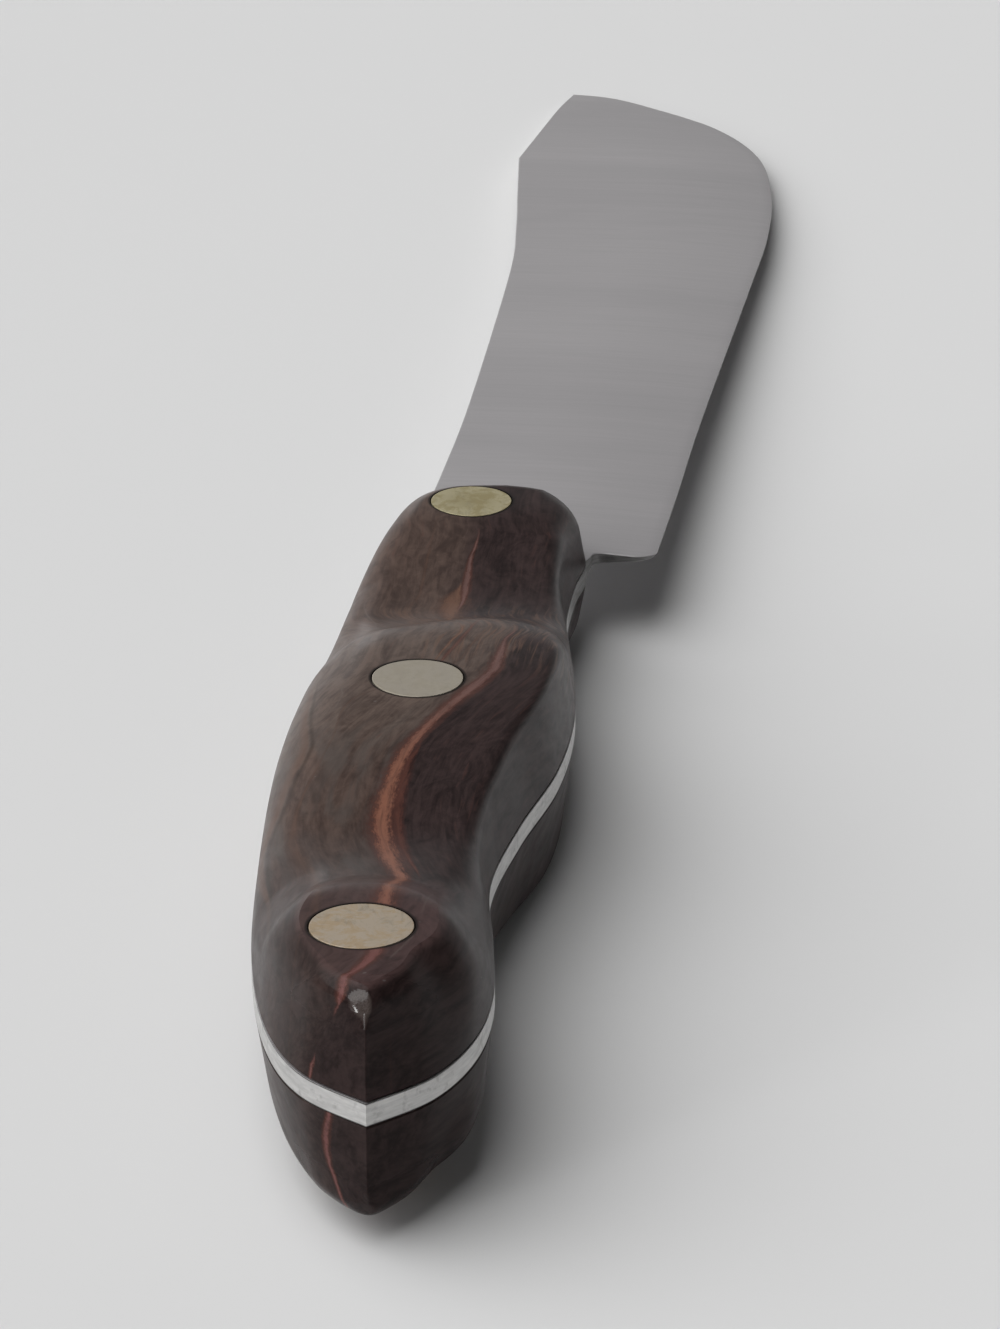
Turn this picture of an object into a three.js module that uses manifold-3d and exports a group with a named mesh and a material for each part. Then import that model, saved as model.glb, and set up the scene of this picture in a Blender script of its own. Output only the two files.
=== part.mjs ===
// Butcher knife with a full tang, lying on its side. Sizes are in millimetres.
// X runs from the butt to the tip, Y from the cutting edge to the spine, Z across the steel.
// While the pieces are made, X is zero at the butt's point and Z is zero in the middle of the steel.

import * as THREE from 'three';
import { mergeVertices } from 'three/addons/utils/BufferGeometryUtils.js';
import Module from 'manifold-3d';

// Steel: one sheet from the butt to the tip
const steelThickness = 2.3;
const edgeLand = 0.08;
const bevelWidth = 0.7;
const bevelThickness = 0.42;
const grindWidth = 20;
const grindRunout = 2.8;

// Blade from its heel to its tip
const heelFromButt = 141.6;
const bladeLength = 230.2;
const tipAboveAxis = 11;
const heelRadius = 2.8;
const choilDepth = 9.3;
const choilRadius = 1.4;
const choilLeadIn = 2.8;

// Cutting edge: rows ahead of the heel, then rows behind the tip, the last of them past it
const edgeAheadOfHeel = [[-1.6, -16.8], [23.4, -18.3], [53.4, -19.9]];
const edgeBehindTip = [
  [116.8, -23.9], [86.8, -25.7], [61.8, -25.4], [39.8, -22.5], [21.8, -14.9], [8, -2.9], [1.4, 5.2],
  [-0.6, 14],
];

// Spine: rows from the butt, then rows behind the tip up to the start of the straight clip
const spineFromButt = [[130, 15.1], [140, 13.6], [153, 12.4], [170, 11.7], [198, 11.2]];
const spineBehindTip = [[113.8, 11.6], [90.8, 12.8], [69.8, 14.5], [47.8, 16.3]];

// Handle outline, which the tang and both scales share, from the butt's point to the front end
const handleEdgeSide = [
  [0, 0], [5.5, -5.3], [13, -8.3], [22, -9.1], [33, -8], [46, -6.5], [60, -8.1], [74, -10.7],
  [88, -11.4], [102, -10.2], [116, -8.3], [128, -8.3], [137, -8.9], [142.4, -5.4], [144, 1],
];
const handleSpineSide = [
  [0, 0], [5.2, 6.7], [14, 11.2], [28, 14.5], [46, 16.7], [64, 18.1], [82, 18.1], [100, 17.1],
  [116, 16.5], [130, 15.1], [138.5, 13], [142.8, 8.2], [144, 1],
];

// Scale thickness along the handle: butt swell, finger dip, palm swell, thumb dip, front rise
const scaleThickness = [
  [0, 10.4], [8, 10.45], [16, 10.3], [23, 9.7], [30, 8.2], [41, 7], [52, 8], [64, 9.3],
  [76, 9.98], [86, 9.93], [92, 9.1], [101, 6.6], [110, 5.65], [119, 6.3], [131, 7.78], [136, 7.96],
  [144, 7.6],
];

// Side walls of a scale: distance from the butt, draft in degrees, radius of the rounded top edge
const edgeSideWall = [
  [0, 2, 2], [4, 7, 2.9], [8, 7.9, 4.8], [13, 0.3, 5.5], [22, 6.3, 5.5], [29, 12, 5], [46, 9, 2.8],
  [64, 8, 2.2], [82, 7, 2.4], [93, 8, 4], [108, 9, 3], [144, 11, 3],
];
const spineSideWall = [
  [0, 2, 2], [6, 7.8, 2.9], [13, 8, 4.6], [22, 8, 6.8], [82, 10, 9], [96, 10, 9.5], [110, 10, 6],
  [144, 10, 3.2],
];
const seamBreak = 0.2;

// The palm swell's front slope sweeps back towards the butt on the spine side
const crestSweep = [[40, 0], [80, 0.38], [115, 0.38], [144, 0.05]];
const sweepStart = -2;
const sweepEase = 6;

// Two-part rivets: a solid pin pressed into a tube, each with a wide flush head
const rivetHeadDiameter = 9.5;
const rivetHeadHeight = 3.6;
const rivetPinDiameter = 4;
const rivetTubeWall = 0.9;
const rivetEndGap = 0.4;
const fitClearance = 0.15;
const rearRivetFromButt = 14.3;
const frontRivetFromFront = 9.1;
const rearRivetAboveAxis = 2.1;
const middleRivetAboveAxis = 4;
const frontRivetAboveAxis = 4.6;

// Fineness of the facets
const sideSteps = 44;
const filletSteps = 5;
const crownSteps = 6;
const grindSteps = 6;
const edgeSteps = 46;
const spineSteps = 30;
const roundSegments = 32;
const heelSteps = 6;
const wallPasses = 6;
const mergeDistance = 1e-5;

// Sizes that follow from the ones above
const tangFace = steelThickness / 2;
const tipFromButt = heelFromButt + bladeLength;
const tipPoint = [tipFromButt, tipAboveAxis];
const bladeEdge = [
  ...edgeAheadOfHeel.map(([ahead, y]) => [heelFromButt + ahead, y]),
  ...edgeBehindTip.map(([behind, y]) => [tipFromButt - behind, y]),
];
const bladeSpine = [
  ...spineFromButt,
  ...spineBehindTip.map(([behind, y]) => [tipFromButt - behind, y]),
];
const handleFront = handleEdgeSide.at(-1)[0];
const rivetTubeBore = rivetPinDiameter + 2 * fitClearance;
const rivetTubeDiameter = rivetTubeBore + 2 * rivetTubeWall;
const frontRivetX = handleFront - frontRivetFromFront;
const rivetSpots = {
  rear: [rearRivetFromButt, rearRivetAboveAxis],
  middle: [(rearRivetFromButt + frontRivetX) / 2, middleRivetAboveAxis],
  front: [frontRivetX, frontRivetAboveAxis],
};

const wasm = await Module();
wasm.setup();

const materials = {
  steel: new THREE.MeshStandardMaterial({ color: 0x929090, roughness: 0.38, metalness: 1 }),
  resin: new THREE.MeshStandardMaterial({ color: 0x4a3530, roughness: 0.28, metalness: 0 }),
  nickelSilver: new THREE.MeshStandardMaterial({ color: 0xb9b3a2, roughness: 0.35, metalness: 1 }),
};

function splineThrough(points) {
  return new THREE.SplineCurve(points.map(([x, y]) => new THREE.Vector2(x, y)));
}

// Smooth value of one column of a table whose rows start with a distance along the knife
function tableValue(table, x, column = 1) {
  const last = table.length - 1;
  const at = THREE.MathUtils.clamp(x, table[0][0], table[last][0]);
  let row = 0;
  while (row < last - 1 && at > table[row + 1][0]) row += 1;
  const slope = (k) => {
    const before = table[Math.max(k - 1, 0)];
    const after = table[Math.min(k + 1, last)];
    return (after[column] - before[column]) / (after[0] - before[0]);
  };
  const span = table[row + 1][0] - table[row][0];
  const t = (at - table[row][0]) / span;
  const rise = t * t * (3 - 2 * t);
  const start = span * slope(row) * t * (1 - t) ** 2;
  const end = span * slope(row + 1) * t * t * (t - 1);
  return THREE.MathUtils.lerp(table[row][column], table[row + 1][column], rise) + start + end;
}

// Height of the handle's top surface over the middle of the steel
function crownHeight(x, y) {
  const over = Math.max(y - sweepStart, 0);
  const eased = over < sweepEase ? over ** 2 / (2 * sweepEase) : over - sweepEase / 2;
  return tangFace + tableValue(scaleThickness, x + tableValue(crestSweep, x) * eased);
}

function solidFrom(geometry) {
  const bare = geometry.clone();
  bare.deleteAttribute('normal');
  bare.deleteAttribute('uv');
  const merged = mergeVertices(bare, mergeDistance);
  const vertProperties = new Float32Array(merged.attributes.position.array);
  const triVerts = new Uint32Array(merged.index.array);
  return new wasm.Manifold(new wasm.Mesh({ numProp: 3, vertProperties, triVerts }));
}

function geometryFrom(solid) {
  const { vertProperties, triVerts } = solid.getMesh();
  const geometry = new THREE.BufferGeometry();
  geometry.setAttribute('position', new THREE.BufferAttribute(vertProperties, 3));
  geometry.setIndex(new THREE.BufferAttribute(triVerts, 1));
  geometry.computeVertexNormals();
  return geometry;
}

function indexedGeometry(vertices, triangles) {
  const geometry = new THREE.BufferGeometry();
  geometry.setAttribute('position', new THREE.Float32BufferAttribute(vertices.flat(), 3));
  geometry.setIndex(triangles.flat());
  return geometry;
}

// Round bar along Z between two heights
function roundBar(diameter, [x, y], fromZ, toZ) {
  const bar = new THREE.CylinderGeometry(diameter / 2, diameter / 2, toZ - fromZ, roundSegments);
  bar.rotateX(Math.PI / 2);
  bar.translate(x, y, (fromZ + toZ) / 2);
  return solidFrom(bar);
}

function mirroredAcrossSteel(geometry) {
  const mirrored = geometry.clone();
  mirrored.scale(1, 1, -1);
  const flipped = mirrored.index.array.slice();
  for (let i = 0; i < flipped.length; i += 3) {
    [flipped[i], flipped[i + 1]] = [flipped[i + 1], flipped[i]];
  }
  mirrored.setIndex(new THREE.BufferAttribute(flipped, 1));
  return mirrored;
}

// Places along one side of the handle, with the way inwards and the wall's draft and radius
function sideStations(points, wall, turn) {
  const curve = splineThrough(points);
  return Array.from({ length: sideSteps + 1 }, (_, i) => {
    const spot = curve.getPointAt(i / sideSteps);
    const along = curve.getTangentAt(i / sideSteps);
    return {
      spot,
      inward: new THREE.Vector2(-along.y * turn, along.x * turn),
      draft: THREE.MathUtils.degToRad(tableValue(wall, spot.x, 1)),
      radius: tableValue(wall, spot.x, 2),
    };
  });
}

// Closed loop of stations: butt, edge side, front, spine side
function handleLoop() {
  const edgeSide = sideStations(handleEdgeSide, edgeSideWall, 1);
  const spineSide = sideStations(handleSpineSide, spineSideWall, -1);
  [0, sideSteps].forEach((end) => {
    const ways = [edgeSide[end].inward, spineSide[end].inward];
    const miter = ways[0].clone().add(ways[1]);
    edgeSide[end].inward = miter.divideScalar(1 + ways[0].dot(ways[1]));
  });
  return [...edgeSide, ...spineSide.slice(1, sideSteps).reverse()];
}

// Points of a scale's side at one station: broken seam edge, drafted wall, rounded top edge
function wallPoints({ spot, inward, draft, radius }) {
  let flatInset = radius;
  let rise = 0;
  let wallRise = 0;
  let round = radius;
  for (let pass = 0; pass < wallPasses; pass += 1) {
    const flat = spot.clone().addScaledVector(inward, flatInset);
    rise = crownHeight(flat.x, flat.y) - tangFace;
    round = Math.min(radius, rise - 2 * seamBreak);
    wallRise = rise - round * (1 - Math.sin(draft));
    flatInset = wallRise * Math.tan(draft) + round * Math.cos(draft);
  }
  const profile = [[seamBreak, 0], [seamBreak * Math.tan(draft), seamBreak]];
  for (let step = 0; step <= filletSteps; step += 1) {
    const angle = THREE.MathUtils.lerp(draft, Math.PI / 2, step / filletSteps);
    const inset = flatInset - round * Math.cos(angle);
    profile.push([inset, rise - round * (1 - Math.sin(angle))]);
  }
  return profile.map(([inset, height]) => {
    const place = spot.clone().addScaledVector(inward, inset);
    const slope = crownHeight(place.x, place.y) - tangFace - rise;
    return [place.x, place.y, tangFace + height + slope * (height / rise)];
  });
}

// Undrilled upper scale: rings up the side walls, then rows across the top from side to side
function scaleBlank() {
  const loop = handleLoop();
  const columns = loop.map(wallPoints);
  const around = loop.length;
  const rings = columns[0].length;
  const vertices = [];
  const triangles = [];
  for (let ring = 0; ring < rings; ring += 1) columns.forEach((column) => vertices.push(column[ring]));
  const quad = (a, b, c, d) => triangles.push([a, b, c], [a, c, d]);
  for (let ring = 0; ring < rings - 1; ring += 1) {
    for (let i = 0; i < around; i += 1) {
      const next = (i + 1) % around;
      const low = ring * around;
      const high = low + around;
      quad(low + i, low + next, high + next, high + i);
    }
  }
  const top = (rings - 1) * around;
  const rows = [];
  for (let i = 1; i < sideSteps; i += 1) {
    const [ax, ay] = vertices[top + i];
    const [bx, by] = vertices[top + around - i];
    const row = [top + i];
    for (let step = 1; step < crownSteps; step += 1) {
      const x = THREE.MathUtils.lerp(ax, bx, step / crownSteps);
      const y = THREE.MathUtils.lerp(ay, by, step / crownSteps);
      row.push(vertices.push([x, y, crownHeight(x, y)]) - 1);
    }
    row.push(top + around - i);
    rows.push(row);
  }
  for (let step = 0; step < crownSteps; step += 1) {
    rows.slice(1).forEach((row, i) => quad(rows[i][step], row[step], row[step + 1], rows[i][step + 1]));
    triangles.push([top, rows[0][step], rows[0][step + 1]]);
    triangles.push([rows.at(-1)[step], top + sideSteps, rows.at(-1)[step + 1]]);
  }
  const base = columns.map(([[x, y]]) => new THREE.Vector2(x, y));
  THREE.ShapeUtils.triangulateShape(base, []).forEach(([a, b, c]) => triangles.push([a, c, b]));
  return indexedGeometry(vertices, triangles);
}

// Counterbore for each rivet head and a hole for its tube
function drilledScale(blank) {
  let scale = solidFrom(blank);
  Object.values(rivetSpots).forEach((spot) => {
    const seat = rivetSeat(spot);
    const above = seat + 2 * rivetHeadHeight;
    scale = scale.subtract(roundBar(rivetHeadDiameter + 2 * fitClearance, spot, seat, above));
    scale = scale.subtract(roundBar(rivetTubeDiameter + 2 * fitClearance, spot, 0, above));
  });
  return geometryFrom(scale);
}

// Height of the counterbore's floor, where a rivet head sits
function rivetSeat(spot) {
  return crownHeight(...spot) - rivetHeadHeight;
}

// Flush head: a round bar trimmed to the scale's own surface
function rivetHead(blank, spot) {
  const seat = rivetSeat(spot);
  const bar = roundBar(rivetHeadDiameter, spot, seat, seat + 2 * rivetHeadHeight);
  return bar.intersect(solidFrom(blank));
}

function rivetPin(blank, spot) {
  const seat = rivetSeat(spot);
  const pin = roundBar(rivetPinDiameter, spot, rivetEndGap - seat, seat + rivetHeadHeight / 2);
  return geometryFrom(rivetHead(blank, spot).add(pin));
}

function rivetTube(blank, spot) {
  const seat = rivetSeat(spot);
  const tube = roundBar(rivetTubeDiameter, spot, rivetEndGap - seat, seat + rivetHeadHeight / 2);
  const bore = roundBar(rivetTubeBore, spot, -seat, seat);
  const upright = rivetHead(blank, spot).add(tube).subtract(bore);
  return mirroredAcrossSteel(geometryFrom(upright));
}

// Half thickness of the ground blade at a distance from the cutting edge
function groundHalf(distance) {
  if (distance <= 0) return edgeLand / 2;
  const left = THREE.MathUtils.clamp((grindWidth - distance) / (grindWidth - bevelWidth), 0, 1);
  return THREE.MathUtils.lerp(tangFace, bevelThickness / 2, left ** 2);
}

// Steel before its outline is cut: flat through the tang, ground down to the edge along the blade
function groundSteel() {
  const distances = [0];
  for (let step = 0; step <= grindSteps; step += 1) {
    distances.push(THREE.MathUtils.lerp(bevelWidth, grindWidth, step / grindSteps));
  }
  const farSide = Math.max(...[...handleSpineSide, ...bladeSpine].map(([, y]) => y)) + steelThickness;
  const section = (edge, inward, half) => {
    const line = distances.map((d) => [edge.x + inward.x * d, edge.y + inward.y * d, half(d)]);
    line.push([line.at(-1)[0], farSide, tangFace]);
    return line;
  };
  const curve = splineThrough(bladeEdge);
  const start = curve.getPoint(0);
  const square = new THREE.Vector2(0, 1);
  const flatAt = (x) => section(new THREE.Vector2(x, start.y), square, () => tangFace);
  const sections = [flatAt(-steelThickness), flatAt(start.x - grindRunout)];
  for (let step = 0; step <= edgeSteps; step += 1) {
    const along = curve.getTangentAt(step / edgeSteps);
    const inward = new THREE.Vector2(-along.y, along.x);
    sections.push(section(curve.getPointAt(step / edgeSteps), inward, groundHalf));
  }
  return sheetFromSections(sections);
}

// Closed sheet, alike on both faces, through lines of points on its upper face
function sheetFromSections(sections) {
  const across = sections[0].length;
  const upper = sections.flat();
  const vertices = [...upper, ...upper.map(([x, y, z]) => [x, y, -z])];
  const below = upper.length;
  const triangles = [];
  const quad = (a, b, c, d) => triangles.push([a, b, c], [a, c, d]);
  for (let s = 0; s < sections.length - 1; s += 1) {
    const here = s * across;
    const next = here + across;
    for (let k = 0; k < across - 1; k += 1) {
      quad(here + k, next + k, next + k + 1, here + k + 1);
      quad(below + here + k, below + here + k + 1, below + next + k + 1, below + next + k);
    }
    const far = across - 1;
    quad(below + here, below + next, next, here);
    quad(here + far, next + far, below + next + far, below + here + far);
  }
  const end = (sections.length - 1) * across;
  for (let k = 0; k < across - 1; k += 1) {
    quad(below + k, k, k + 1, below + k + 1);
    quad(end + k, below + end + k, below + end + k + 1, end + k + 1);
  }
  return solidFrom(indexedGeometry(vertices, triangles));
}

// Plan of the steel. Along the cutting edge it runs clear of the steel, which the grind ends there.
function steelOutline() {
  const heelEdge = splineThrough(bladeEdge).getPoint(0).y;
  const clear = Math.min(...bladeEdge.map(([, y]) => y)) - steelThickness;
  const clipStart = new THREE.Vector2(...bladeSpine.at(-1));
  const clip = new THREE.Vector2(...tipPoint).sub(clipStart);
  const pastTip = clip.setLength(clip.length() + steelThickness).add(clipStart);
  const beforeChoil = heelFromButt - choilRadius - choilLeadIn;
  const edgeSide = splineThrough(handleEdgeSide).getSpacedPoints(2 * sideSteps);
  const tangSpine = splineThrough(handleSpineSide).getSpacedPoints(2 * sideSteps);
  const shape = new THREE.Shape();
  edgeSide.filter(({ x, y }) => x < beforeChoil && y <= 0).forEach(({ x, y }, i) => {
    if (i === 0) shape.moveTo(x, y);
    else shape.lineTo(x, y);
  });
  shape.absarc(heelFromButt - choilRadius, -choilDepth - choilRadius, choilRadius, Math.PI / 2, 0, true);
  shape.absarc(heelFromButt + heelRadius, heelEdge + heelRadius, heelRadius, Math.PI, 1.5 * Math.PI);
  shape.lineTo(heelFromButt + heelRadius, clear);
  shape.lineTo(pastTip.x, clear);
  shape.lineTo(pastTip.x, pastTip.y);
  splineThrough(bladeSpine).getPoints(spineSteps).reverse().forEach(({ x, y }) => shape.lineTo(x, y));
  tangSpine.reverse().filter(({ x, y }) => x < bladeSpine[0][0] && y > 0)
    .forEach(({ x, y }) => shape.lineTo(x, y));
  return shape;
}

function blade() {
  const depth = 2 * steelThickness;
  const plan = new THREE.ExtrudeGeometry(steelOutline(), {
    depth, bevelEnabled: false, curveSegments: heelSteps,
  });
  plan.translate(0, 0, -depth / 2);
  let steel = groundSteel().intersect(solidFrom(plan));
  Object.values(rivetSpots).forEach((spot) => {
    const hole = roundBar(rivetTubeDiameter + 2 * fitClearance, spot, -depth, depth);
    steel = steel.subtract(hole);
  });
  return geometryFrom(steel);
}

function addPiece(group, name, geometry, material) {
  const mesh = new THREE.Mesh(geometry, material);
  mesh.name = name;
  group.add(mesh);
}

function butcherKnife() {
  const knife = new THREE.Group();
  const handle = new THREE.Group();
  const blank = scaleBlank();
  const upper = drilledScale(blank);
  addPiece(knife, 'blade', blade(), materials.steel);
  addPiece(handle, 'upper_scale', upper, materials.resin);
  addPiece(handle, 'lower_scale', mirroredAcrossSteel(upper), materials.resin);
  Object.entries(rivetSpots).forEach(([place, spot]) => {
    addPiece(handle, `${place}_rivet_pin`, rivetPin(blank, spot), materials.nickelSilver);
    addPiece(handle, `${place}_rivet_tube`, rivetTube(blank, spot), materials.nickelSilver);
  });
  knife.add(handle);

  // The finished knife stands on Z zero, with the origin under the middle of its length and width
  const box = new THREE.Box3().setFromObject(knife);
  const middle = box.getCenter(new THREE.Vector3());
  knife.position.set(-middle.x, -middle.y, -box.min.z);
  return knife;
}

export default butcherKnife();
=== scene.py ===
import math

import bmesh
import bpy
import numpy as np
from mathutils import Matrix, Vector
from mathutils.bvhtree import BVHTree


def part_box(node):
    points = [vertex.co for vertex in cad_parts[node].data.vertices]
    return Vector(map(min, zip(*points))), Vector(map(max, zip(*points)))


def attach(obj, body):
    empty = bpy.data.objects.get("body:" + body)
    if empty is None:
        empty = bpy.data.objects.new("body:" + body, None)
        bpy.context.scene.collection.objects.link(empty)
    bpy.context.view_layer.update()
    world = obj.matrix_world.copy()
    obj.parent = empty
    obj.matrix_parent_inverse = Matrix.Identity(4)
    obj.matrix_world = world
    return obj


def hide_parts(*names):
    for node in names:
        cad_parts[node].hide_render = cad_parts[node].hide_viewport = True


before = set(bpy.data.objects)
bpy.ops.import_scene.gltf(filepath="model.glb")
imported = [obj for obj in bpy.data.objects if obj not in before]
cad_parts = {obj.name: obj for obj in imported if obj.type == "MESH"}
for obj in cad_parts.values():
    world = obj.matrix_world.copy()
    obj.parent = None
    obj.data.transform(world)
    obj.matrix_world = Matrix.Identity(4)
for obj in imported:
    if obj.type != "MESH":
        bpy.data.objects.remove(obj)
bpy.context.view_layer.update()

# Sizes of the knife in millimetres. X runs from the butt to the tip, Y from the edge to the spine, and Z
# across the steel from the middle of its thickness.
TANG = 1.15  # half the steel's thickness
EDGE_HALF = 0.04  # half the edge's thickness
BEVEL, BEVEL_HALF = 0.7, 0.21  # width of the sharpened bevel, and half the thickness where it starts
GRIND, RUNOUT = 20.0, 2.8  # width of the grind, and the length over which it starts at the heel
BLADE_EDGE = [
    (140, -16.8), (165, -18.3), (195, -19.9), (255, -23.9), (285, -25.7), (310, -25.4),
    (332, -22.5), (350, -14.9), (363.8, -2.9), (370.4, 5.2), (372.4, 14),
]
BLADE_SPINE = [
    (130, 15.1), (140, 13.6), (153, 12.4), (170, 11.7), (198, 11.2), (258, 11.6), (281, 12.8),
    (302, 14.5), (324, 16.3),
]
TIP = (371.8, 11)
HEEL_X, HEEL_R, CHOIL_Y, CHOIL_R = 141.6, 2.8, -9.3, 1.4
TANG_STOP = 2.8  # room between the end of the tang's edge side and the choil's rounding
HEEL_STOP = 0.3  # room between the heel's rounding and the start of the edge

# Both sides of the handle's outline, and the height of its top over the steel
EDGE_SIDE = [
    (0, 0), (5.5, -5.3), (13, -8.3), (22, -9.1), (33, -8), (46, -6.5), (60, -8.1), (74, -10.7),
    (88, -11.4), (102, -10.2), (116, -8.3), (128, -8.3), (137, -8.9), (142.4, -5.4), (144, 1),
]
SPINE_SIDE = [
    (0, 0), (5.2, 6.7), (14, 11.2), (28, 14.5), (46, 16.7), (64, 18.1), (82, 18.1), (100, 17.1),
    (116, 16.5), (130, 15.1), (138.5, 13), (142.8, 8.2), (144, 1),
]
THICKNESS = [
    (0, 10.4), (8, 10.45), (16, 10.38), (22, 10.22), (24, 10.0), (25.2, 9.7), (27, 9.15), (30, 8.3), (41, 7),
    (52, 8), (64, 9.3), (76, 9.98), (86, 9.95), (91, 9.62), (95, 8.85), (99, 7.2), (104, 6), (110, 5.65),
    (119, 6.3), (131, 7.85), (136, 8.1), (144, 8.25),
]
# The handle's walls as (x, draft in degrees, radius of the rounding at the top)
EDGE_WALL = [
    (0, 2, 2), (4, 7, 2.9), (8, 7.9, 4.8), (13, 0.3, 5.5), (22, 6.3, 5.5), (29, 12, 5), (46, 9, 1.8),
    (64, 8, 1.1), (82, 7, 1.1), (93, 8, 2.4), (106, 9, 2.4), (118, 10, 1.7), (126, 10, 2.6), (134, 10.5, 4.6),
    (140, 11, 4.6), (144, 11, 3),
]
SPINE_WALL = [
    (0, 2, 2), (6, 7.8, 2.9), (13, 8, 4.6), (22, 8, 6.8), (82, 10, 9), (96, 10, 9.5), (110, 10, 6),
    (144, 10, 3.2),
]
# Degrees by which the rounding stops short of the top, which leaves a crease
SPINE_CREASE = [(0, 12), (4, 16), (8, 26), (12, 34), (16, 30), (22, 12), (28, 0), (144, 0)]
EDGE_CREASE = [(0, 12), (4, 18), (8, 22), (14, 20), (22, 8), (28, 0), (144, 0)]
CREASE_LIMIT = 60
SEAM = 0.25  # broken corner of the scales along the steel
# The corner at the butt is worn: the way the facet faces, its distance from the origin, the softness of its
# rim, the x before which it lies, the height of its polished part, and how far that part spreads
WEAR_WAY, WEAR_REACH, WEAR_SOFT, WEAR_END = (-0.852, 0.22, 0.475), 3.7, 0.2, 6
POLISH_LOW, POLISH_SPREAD = 8.75, 0.22
UNWORN = 9  # distance that stands for places away from the facet
WEAR_FADE = 2  # distance below the facet at which it no longer moves anything
# The crests across the top are not straight. Past SWEEP_START they sweep back to the spine side, the rear
# crest bows back at both sides of BOW_Y, and the palm's crest turns back on the edge side of TURN_Y.
SWEEP = [(40, 0), (80, 0.46), (115, 0.46), (144, 0.05)]
SWEEP_START, SWEEP_EASE = -2.0, 6.0
BOW, BOW_Y = [(0, 0), (14, 0.075), (30, 0.075), (41, 0), (144, 0)], 2.5
TURN, TURN_Y = [(0, 0), (76, 0), (88, 0.08), (104, 0.08), (114, 0), (144, 0)], -2.5

# Rivets: the head's radius and height, and the radii of pin, tube and bore. END_GAP is left at a shank's end,
# CLEAR is left round it in the scales, and BORE_ROOF is the bore's depth in the tube's head.
HEAD_R, HEAD_H, PIN_R, TUBE_R, TUBE_BORE = 4.75, 3.6, 2.0, 3.05, 2.15
END_GAP, CLEAR, BORE_ROOF = 0.4, 0.15, 0.5
HEAD_BREAK = 0.04  # broken corner round a rivet's head
RIVETS = {"rear": (14.3, 2.1), "middle": (74.6, 4.0), "front": (134.9, 4.6)}
DRILL_TOP, RAY_TOP = 20, 30  # heights above everything in the handle

# Fineness of the meshes
STATIONS, WALL_STEPS, FILLET_STEPS, CROWN_STEPS = 380, 6, 14, 56
CROWDING = 1.35  # power that crowds the stations towards the butt
ROUND_STEPS = 96
HEAD_RINGS = (0.9, 1.8, 2.7, 3.4, 4.0, 4.35, 4.55, 4.66)
BREAK_ANGLES = (0.3, 0.7, 1.1, 1.57)  # radians round the head's broken corner
CHOIL_STEPS, HEEL_STEPS, ACROSS_STEPS = 12, 16, 40
MERGE = 1e-8  # metres within which vertices become one
SMOOTH_PIECE, SMOOTH_SCALE, SMOOTH_BLADE = 40, 13, 25  # degrees above which an edge is sharp


def smooth_line(points, per_span=60):
    """Catmull-Rom line through the points, sampled finely."""
    p = np.array(points, float)
    p = np.vstack([p[:1], p, p[-1:]])
    t = np.linspace(0, 1, per_span, endpoint=False)[:, None]
    out = []
    for a, b, c, d in zip(p[:-3], p[1:-2], p[2:-1], p[3:]):
        m, n = (c - a) / 2, (d - b) / 2
        out.append((2 * b - 2 * c + m + n) * t**3 + (3 * c - 3 * b - 2 * m - n) * t**2 + m * t + b)
    return np.vstack(out + [p[-1:]])


def along(line):
    """Distance along a line at each of its points."""
    return np.concatenate([[0], np.cumsum(np.linalg.norm(np.diff(line, axis=0), axis=1))])


def resample(line, share):
    """Points of a line at the given shares of its length."""
    s = along(line)
    return np.column_stack([np.interp(share * s[-1], s, line[:, k]) for k in range(line.shape[1])])


def table(rows, x, column=1):
    """Smooth value of a table at x, with slopes from the neighbouring rows."""
    k, v = np.array(rows, float)[:, 0], np.array(rows, float)[:, column]
    slope = np.concatenate([
        [(v[1] - v[0]) / (k[1] - k[0])], (v[2:] - v[:-2]) / (k[2:] - k[:-2]),
        [(v[-1] - v[-2]) / (k[-1] - k[-2])],
    ])
    x = np.clip(x, k[0], k[-1])
    i = np.clip(np.searchsorted(k, x) - 1, 0, len(k) - 2)
    span = k[i + 1] - k[i]
    t = (x - k[i]) / span
    return (
        v[i] + (v[i + 1] - v[i]) * t * t * (3 - 2 * t)
        + span * (slope[i] * t * (1 - t) ** 2 + slope[i + 1] * t * t * (t - 1))
    )


def crown(x, y):
    """Height of the handle's top surface over the middle of the steel."""
    over = np.maximum(y - SWEEP_START, 0)
    eased = np.where(over < SWEEP_EASE, over**2 / (2 * SWEEP_EASE), over - SWEEP_EASE / 2)
    bow = np.maximum(table(BOW, x), 0) * (y - BOW_Y) ** 2
    turn = np.maximum(table(TURN, x), 0) * np.minimum(y - TURN_Y, 0) ** 2
    return TANG + table(THICKNESS, x + table(SWEEP, x) * eased + bow + turn)


# The row frame's place for the knife's own origin, in millimetres
blade_low, blade_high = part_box("blade")
OFFSET = np.array([
    blade_low.x * 1000,
    blade_high.y * 1000 - smooth_line(SPINE_SIDE)[:, 1].max(),
    (blade_low.z + blade_high.z) * 500,
])


def in_row(vertices):
    """Places on the knife in millimetres as places in the row frame in metres."""
    return ((np.asarray(vertices) + OFFSET) / 1000).tolist()


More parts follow.
